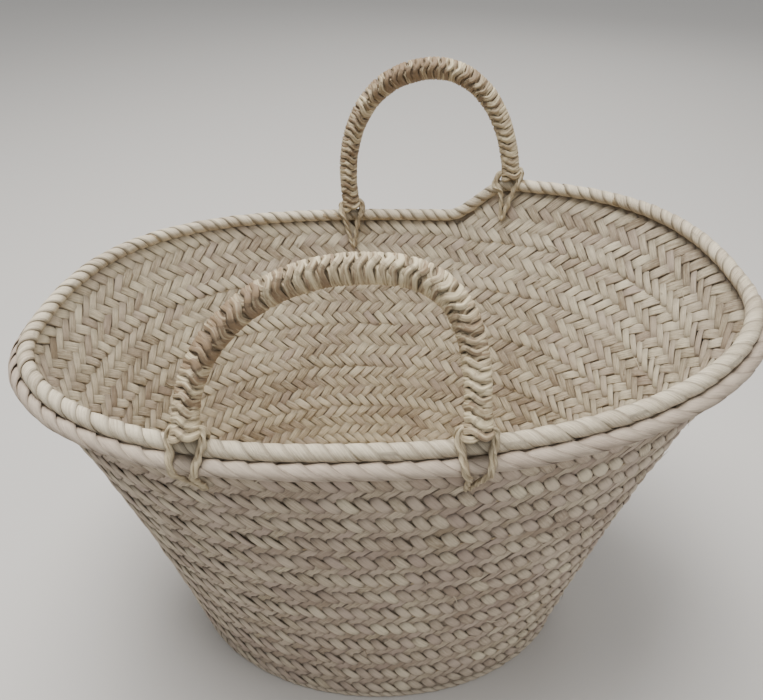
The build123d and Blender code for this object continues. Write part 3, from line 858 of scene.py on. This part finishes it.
class Arch:
    """The centre line of one handle, from its left foot to its right one."""

    def __init__(self, form, handle, side):
        sizes = form.form
        turns = np.linspace(0.0, 1.0, 20001)
        rim = form.rim(turns)
        self.handle, self.turns, self.feet = handle, [], []
        for x in (handle.foot_left, handle.foot_right):
            gap = np.abs(rim[:, 0] - x) + np.where(rim[:, 1] * side > 0, 0.0, 1.0)
            nearest = np.argmin(gap)
            self.turns.append(turns[nearest])
            self.feet.append(rim[nearest] + UP * (sizes.top_roll_radius + FOOT_LIFT))
        left, right = self.feet
        self.middle = (left + right) / 2
        self.axis = unit(right - left)
        self.half_span = np.linalg.norm(right - left) / 2
        upright = np.array((0.0, math.sin(handle.lean), math.cos(handle.lean)))
        self.rise = unit(upright - self.axis * upright.dot(self.axis))
        self.face = np.cross(self.axis, self.rise)
        line = self.centre(np.linspace(0.0, 1.0, 1201))
        below = self.rise * FOOT_LENGTH
        self.line = np.concatenate(([line[0] - below], line, [line[-1] - below]))
        self.run = lengths_along(self.line)
        self.length = self.run[-1]

    def centre(self, share):
        """The arch from foot to foot, a superellipse that leans sideways."""
        handle, turn = self.handle, np.pi * (1 - share)
        across = signed_power(np.cos(turn), 2 / handle.squareness)
        up = np.clip(np.sin(turn), 0, 1) ** (2 / handle.squareness)
        sideways = self.half_span * across + handle.skew * up ** handle.skew_power
        return self.middle + column(sideways) * self.axis + column(handle.height * up) * self.rise

    def at(self, run):
        return np.stack([np.interp(run, self.run, self.line[:, i]) for i in range(3)], axis=-1)

    def spoke(self, run, roll):
        """The centre, and the direction across it at this roll from away from the arch's middle."""
        tangent = unit(self.at(run + 2 * MM) - self.at(run - 2 * MM))
        away = unit(np.cross(self.face, tangent))
        return self.at(run), column(np.cos(roll)) * away + column(np.sin(roll)) * self.face

    def outside(self, share, look):
        """The handle's radius, which swells towards the crown."""
        return look.leg_radius + (look.crown_radius - look.leg_radius) * np.sin(np.pi * share) ** 2


def strand_line(arch, look, which, pitch, drifts, lap):
    """Where one of the two strands lies at this lap, and the direction outwards from the rope."""
    whole = np.floor(lap)
    through = np.clip((lap - whole - 0.5) / CROSSING + 0.5, 0, 1)
    swapped = whole + through * through * (3 - 2 * through)
    sign = 1 if which else -1
    side, over = np.cos(np.pi * swapped) * sign, np.sin(np.pi * swapped) * sign
    near = np.exp(-((lap - whole - 0.5) / CROSSING_WIDTH) ** 2)
    drifted = np.interp(lap, np.arange(len(drifts)), drifts)
    run = lap * pitch + side * pitch * (0.25 + CROSSING_SPREAD * near) + END_GAP + drifted
    share = np.clip(run / arch.length, 0, 1)
    from_end = np.minimum(run, arch.length - run)
    collar = COLLAR * np.exp(-(from_end / COLLAR_LENGTH) ** 2)
    reach = arch.outside(share, look) - look.strand_height / 2 + over * CROSSING_LIFT + collar
    ridge = math.radians(90) + 0.35 * np.sin(FULL_TURN * share * 1.5)
    centre, spoke = arch.spoke(run, ridge + FULL_TURN * (lap - 0.5))
    return centre + column(reach) * spoke, spoke


def paired_strand(arch, look, which, chance):
    """One of the two strands that wind round a handle and change places once in every turn."""
    laps = round(arch.length / look.pitch)
    pitch = (arch.length - 2 * END_GAP) / laps
    drifts = np.cumsum(chance.normal(0, DRIFT_SPREAD, laps + 2))
    drifts = (drifts - np.linspace(0, drifts[-1], laps + 2)) * DRIFT_SHARE
    blank = tube_blank(laps * STRAND_ALONG, STRAND_AROUND)
    template = places_in(blank)
    lap = (template[:, 0] + 0.5) * laps
    roll = FULL_TURN * template[:, 1]
    here, spoke = strand_line(arch, look, which, pitch, drifts, lap)
    ahead, behind = [strand_line(arch, look, which, pitch, drifts, lap + step)[0] for step in (0.004, -0.004)]
    flat = unit(np.cross(unit(ahead - behind), spoke))
    halves = np.arange(laps * 2 + 3)
    size = np.interp(lap * 2, halves, chance.uniform(*SIZE_RANGE, laps * 2 + 3))
    fold = np.cos(5 * roll - 8 * lap)
    crease = 1 + 0.12 * np.cos(3 * roll + 11 * lap) + 0.10 * fold
    across = look.strand_width / 2 * size * crease * np.sin(roll)
    standing = look.strand_height / 2 * crease * np.cos(roll)
    places = here + column(across) * flat + column(standing) * spoke
    girth = look.strand_width * 1.4
    seeds = chance.uniform(0, 1, laps + 4)
    piece_of_leaf = np.clip(lap + 0.5, 0, laps + 3).astype(int)
    leaf = stacked(lap * 50.0, (roll - 1.2 * lap) * girth / MM / FULL_TURN, seeds[piece_of_leaf])
    brown = np.exp(-((lap / laps - arch.handle.brown_at) / BROWN_SPAN) ** 2)
    tone = CORD_TONE + CORD_TONE_SPREAD * (seeds[::-1][piece_of_leaf] - 0.5) - BROWNING * brown + 0.25 * fold
    # Painted shade: none on the strand's outward face, darkening down its sides to full underneath.
    shade = np.clip(-0.45 + 1.65 * np.cos(roll), 0.0, 1.0)
    shape_mesh(blank, places, leaf, stacked(tone, CORD_BLUSH, shade))
    close_tube(blank)
    return blank


def under_layer(arch, look):
    """The first winding, which the paired strands cover."""
    blank = tube_blank(UNDER_ALONG, UNDER_AROUND)
    template = places_in(blank)
    share = template[:, 0] + 0.5
    roll = FULL_TURN * template[:, 1]
    run = END_GAP + share * (arch.length - 2 * END_GAP)
    centre, spoke = arch.spoke(run, roll)
    places = centre + column(arch.outside(share, look) - UNDER_DEPTH) * spoke
    # Painted shade: the covered winding is given a low shade, so it is darkened.
    shape_mesh(blank, places, stacked(roll * 10.0, run / MM, 0.0), stacked(0 * run + 0.35, 0.1, 0.35))
    close_tube(blank)
    return blank


class BASKET_OT_handles(bpy.types.Operator):
    """Winds the paired cord round both handles"""

    bl_idname = "basket.handles"
    bl_label = "Handles"

    def execute(self, context):
        scene = context.scene
        form, look = Form(scene.basket_form), scene.cord_look
        for name, side, seed in ((FRONT, -1, 401), (BACK, 1, 402)):
            arch = Arch(form, getattr(scene, name), side)
            chance = np.random.default_rng(seed)
            strands = [paired_strand(arch, look, which, chance) for which in (0, 1)]
            mesh = joined([*strands, under_layer(arch, look)])
            add_piece(f"{name}_cord", mesh, name, material("handle_cord"), f"{name}_wrap")
        return {"FINISHED"}


# ---- lashings ----
LASH_SPREADS = (11.0 * MM, 8.8 * MM)   # of a strand from the middle of the foot, on each side
OUTER_TIP_DROP, INNER_TIP_DROP = 25.0 * MM, 21.0 * MM
TIP_LENGTH, TIP_SPREAD, TIP_STAND_OFF = 3 * MM, 0.8 * MM, 4.4 * MM
LASH_GAP = 1.5 * MM                    # of a cord's middle from a roll's outside
LASH_WIDTHS, LASH_THICKNESS = (3.5, 4.3), 2.2 * MM
LASH_TWIST = 19 * MM                   # length of one whole twist
LASH_TONES, LASH_BLUSH = (0.5, 0.9), 0.15
LASH_CELL, LASH_AROUND = 1.1 * MM, 12
# degrees round each roll from outwards, and the share of the spread that is left there
OUTER_ROLL_STOPS = ((-50, 0.45), (-15, 0.6), (30, 0.75))
TOP_ROLL_OUTSIDE_STOPS = ((12, 0.85), (48, 1.0))
TOP_ROLL_INSIDE_STOPS = ((125, 1.0), (165, 0.8), (200, 0.6))
AWAY_FROM_FRONT = np.array((0.0, 1.0, 0.0))


def softened(points, times=3):
    """The line with its corners cut and its ends kept."""
    for _ in range(times):
        early = points[:-1] * 0.75 + points[1:] * 0.25
        late = points[:-1] * 0.25 + points[1:] * 0.75
        inner = np.stack((early, late), axis=1).reshape(-1, 3)
        points = np.concatenate((points[:1], inner, points[-1:]))
    return points


def leaf_cord(points, width, tone, chance):
    """A strip of leaf twisted into a flat cord along these points."""
    line = softened(np.array(points))
    run = lengths_along(line)

    def at(distance):
        return np.stack([np.interp(distance, run, line[:, axis]) for axis in range(3)], axis=-1)

    blank = tube_blank(round(run[-1] / LASH_CELL), LASH_AROUND)
    template = places_in(blank)
    along = (template[:, 0] + 0.5) * run[-1]
    roll = FULL_TURN * template[:, 1]
    heading = unit(at(along + MM) - at(along - MM))
    aside = unit(np.cross(heading, AWAY_FROM_FRONT))
    above = np.cross(aside, heading)
    twist = FULL_TURN * along / LASH_TWIST + chance.uniform(0, FULL_TURN)
    taper = np.clip(np.minimum(along, run[-1] - along) / (4 * MM) + 0.45, 0, 1)
    crease = 1 + 0.10 * np.cos(3 * roll + 2 * twist)
    flat = width / 2 * np.cos(roll) * crease * taper
    thick = LASH_THICKNESS / 2 * np.sin(roll) * crease * taper
    right = flat * np.cos(twist) - thick * np.sin(twist)
    rise = flat * np.sin(twist) + thick * np.cos(twist)
    places = at(along) + column(right) * aside + column(rise) * above
    seed = chance.uniform(0, 1)
    leaf = stacked(along / MM, roll * (width + LASH_THICKNESS) / 4 / MM, seed)
    # Painted shade round the cord: darkest across the middle of its broad faces, none at its narrow edges.
    shape_mesh(blank, places, leaf, stacked(tone, LASH_BLUSH, 0.55 + 0.45 * np.abs(np.cos(roll))))
    close_tube(blank)
    return blank


def lashing_route(form, arch, end, side, spread, chance):
    """The outside and the inside half of a strand, which meet in the handle's foot."""
    sizes, turn, foot = form.form, arch.turns[end], arch.feet[end]
    step = form.rim(turn + TURN_STEP) - form.rim(turn - TURN_STEP)
    turn_per_metre = side * np.sign(step[0]) * 2 * TURN_STEP / np.linalg.norm(step)

    def round_roll(path, radius, stops):
        places = []
        for degrees, share in stops:
            centre, out, up = ring_frame(path, np.array([turn + turn_per_metre * spread * share]))
            angle_round = math.radians(degrees)
            spoke = math.cos(angle_round) * out[0] + math.sin(angle_round) * up[0]
            places.append(centre[0] + spoke * (radius + LASH_GAP))
        return places

    def on_wall(drop, face, share):
        beside = turn + turn_per_metre * spread * share
        tall = np.linalg.norm(form.wall(beside, 1.0) - form.wall(beside, 0.0))
        level = 1 - drop / tall
        return form.wall(beside, level) + form.wall_normal(beside, level) * (face * TIP_STAND_OFF)

    eye = foot + arch.axis * (side * spread)
    outer_drop, inner_drop = [
        drop + chance.normal(0, TIP_SPREAD) for drop in (OUTER_TIP_DROP, INNER_TIP_DROP)
    ]
    outside = [on_wall(outer_drop + TIP_LENGTH, 1, 0.05), on_wall(outer_drop, 1, 0.15)]
    outside += round_roll(form.outer_roll, sizes.outer_roll_radius, OUTER_ROLL_STOPS)
    outside += round_roll(form.rim, sizes.top_roll_radius, TOP_ROLL_OUTSIDE_STOPS)
    inside = round_roll(form.rim, sizes.top_roll_radius, TOP_ROLL_INSIDE_STOPS)
    inside += [on_wall(inner_drop, -1, 0.12), on_wall(inner_drop + TIP_LENGTH, -1, 0.03)]
    return [*outside, eye, foot], [foot, eye, *inside]


class BASKET_OT_lashings(bpy.types.Operator):
    """Ties each foot of both handles to the rim with strands of twisted leaf"""

    bl_idname = "basket.lashings"
    bl_label = "Lashings"

    def execute(self, context):
        scene = context.scene
        form = Form(scene.basket_form)
        for name, handle, side, seed in (
            ("front", scene.front_handle, -1, 501), ("back", scene.back_handle, 1, 502)
        ):
            arch = Arch(form, handle, side)
            chance = np.random.default_rng(seed)
            for end, end_name in enumerate(("left", "right")):
                cords = []
                for across, spread in itertools.product((-1, 1), LASH_SPREADS):
                    for route in lashing_route(form, arch, end, across, spread, chance):
                        width = chance.uniform(*LASH_WIDTHS) * MM
                        cords.append(leaf_cord(route, width, chance.uniform(*LASH_TONES), chance))
                node = f"{name}_{end_name}_lashing"
                add_piece(f"{node}_leaf", joined(cords), BASKET,
                          material("handle_cord"), node)
        return {"FINISHED"}


# ---- stage ----
FLOOR_HALF_SIZE = 6.0
FLOOR_COLOUR, FLOOR_ROUGHNESS = (0.56, 0.53, 0.49, 1.0), 0.7
LAMPS = (                     # name, place, size, power in watts
    ("overhead", (-0.25, 0.20, 1.9), 1.1, 58.0),
    ("front_fill", (1.5, -1.0, 1.0), 1.2, 7.0),
    ("back_fill", (0.5, 1.8, 1.3), 1.4, 8.0),
)
LAMPS_AIM = Vector((0.0, 0.03, 0.15))
SKY_COLOUR, SKY_STRENGTH = (0.93, 0.96, 1.0, 1.0), 0.50
SENSOR_WIDTH, LENS = 36.0, 32.98       # mm
CAMERA_PLACE = (0.0007, -0.4129, 0.5785)
CAMERA_DIP, CAMERA_YAW, CAMERA_ROLL = math.radians(36.72), math.radians(0.11), math.radians(-0.40)


class BASKET_OT_stage(bpy.types.Operator):
    """Sets the floor, the lights and the camera"""

    bl_idname = "basket.stage"
    bl_label = "Stage"

    def execute(self, context):
        scene = context.scene
        bm = bmesh.new()
        bmesh.ops.create_grid(bm, x_segments=1, y_segments=1, size=FLOOR_HALF_SIZE)
        mesh = finished(bm, "floor")
        floor = bpy.data.objects.new("floor", mesh)
        scene.collection.objects.link(floor)
        graph = Graph("pale_floor")
        inputs = {"Base Color": FLOOR_COLOUR, "Roughness": FLOOR_ROUGHNESS}
        shader = graph.node("ShaderNodeBsdfPrincipled", {}, inputs)
        graph.node("ShaderNodeOutputMaterial", {}, {"Surface": shader})
        mesh.materials.append(graph.material)

        for name, place, size, power in LAMPS:
            lamp = bpy.data.lights.new(name, "AREA")
            lamp.size, lamp.energy = size, power
            light = bpy.data.objects.new(name, lamp)
            turned = (LAMPS_AIM - Vector(place)).to_track_quat("-Z", "Y").to_matrix().to_4x4()
            light.matrix_world = Matrix.Translation(place) @ turned
            scene.collection.objects.link(light)
        world = bpy.data.worlds.new("soft_room")
        world.use_nodes = True
        background = world.node_tree.nodes["Background"]
        background.inputs["Color"].default_value = SKY_COLOUR
        background.inputs["Strength"].default_value = SKY_STRENGTH
        scene.world = world

        data = bpy.data.cameras.new("camera")
        data.sensor_width, data.lens = SENSOR_WIDTH, LENS
        camera = bpy.data.objects.new("camera", data)
        yawed = Matrix.Translation(CAMERA_PLACE) @ Matrix.Rotation(-CAMERA_YAW, 4, "Z")
        dipped = yawed @ Matrix.Rotation(math.pi / 2 - CAMERA_DIP, 4, "X")
        camera.matrix_world = dipped @ Matrix.Rotation(-CAMERA_ROLL, 4, "Z")
        scene.collection.objects.link(camera)
        scene.camera = camera
        return {"FINISHED"}


class BASKET_PT_panel(bpy.types.Panel):
    """The basket's pieces, in the order they are made"""

    bl_idname = "BASKET_PT_panel"
    bl_label = "Palm leaf basket"
    bl_space_type = "VIEW_3D"
    bl_region_type = "UI"
    bl_category = "Basket"

    def draw(self, context):
        for operator in OPERATORS:
            self.layout.operator(operator.bl_idname)
        for group in GROUPS:
            settings = getattr(context.scene, group)
            box = self.layout.box()
            box.label(text=group.replace("_", " "))
            for name in settings.bl_rna.properties.keys():
                if name not in ("name", "rna_type"):
                    box.prop(settings, name)


OPERATORS = (
    BASKET_OT_stage, BASKET_OT_wall, BASKET_OT_base, BASKET_OT_rolls, BASKET_OT_handles, BASKET_OT_lashings,
)
GROUPS = {
    "basket_form": BasketForm,
    "plait_look": PlaitLook,
    "front_handle": HandleForm,
    "back_handle": HandleForm,
    "cord_look": CordLook,
}
CLASSES = (BasketForm, PlaitLook, HandleForm, CordLook, *OPERATORS, BASKET_PT_panel)
BACK_HANDLE_FORM = {
    "foot_left": -0.028, "foot_right": 0.117, "height": 0.101, "squareness": 2.2,
    "lean": math.radians(6.0), "skew": 0.010, "skew_power": 1.0, "brown_at": 0.5,
}


def register():
    for cls in CLASSES:
        bpy.utils.register_class(cls)
    for name, group in GROUPS.items():
        setattr(bpy.types.Scene, name, bpy.props.PointerProperty(type=group))


def unregister():
    for name in GROUPS:
        delattr(bpy.types.Scene, name)
    for cls in reversed(CLASSES):
        bpy.utils.unregister_class(cls)


def dress_hidden_nodes():
    """Gives a finish to the cores and lacing cords, which show only through gaps."""
    cord = bpy.context.scene.cord_look
    finish = core_material(tuple(cord.light), tuple(cord.dark))
    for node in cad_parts:
        if "core" in node or "seam_cord" in node:
            mesh = bpy.data.objects[node].data
            mesh.materials.clear()
            mesh.materials.append(finish)


def main():
    register()
    for key, value in BACK_HANDLE_FORM.items():
        setattr(bpy.context.scene.back_handle, key, value)
    bpy.ops.basket.stage()
    bpy.ops.basket.wall()
    bpy.ops.basket.base()
    bpy.ops.basket.rolls()
    bpy.ops.basket.handles()
    bpy.ops.basket.lashings()
    dress_hidden_nodes()


if __name__ == "__main__":
    main()
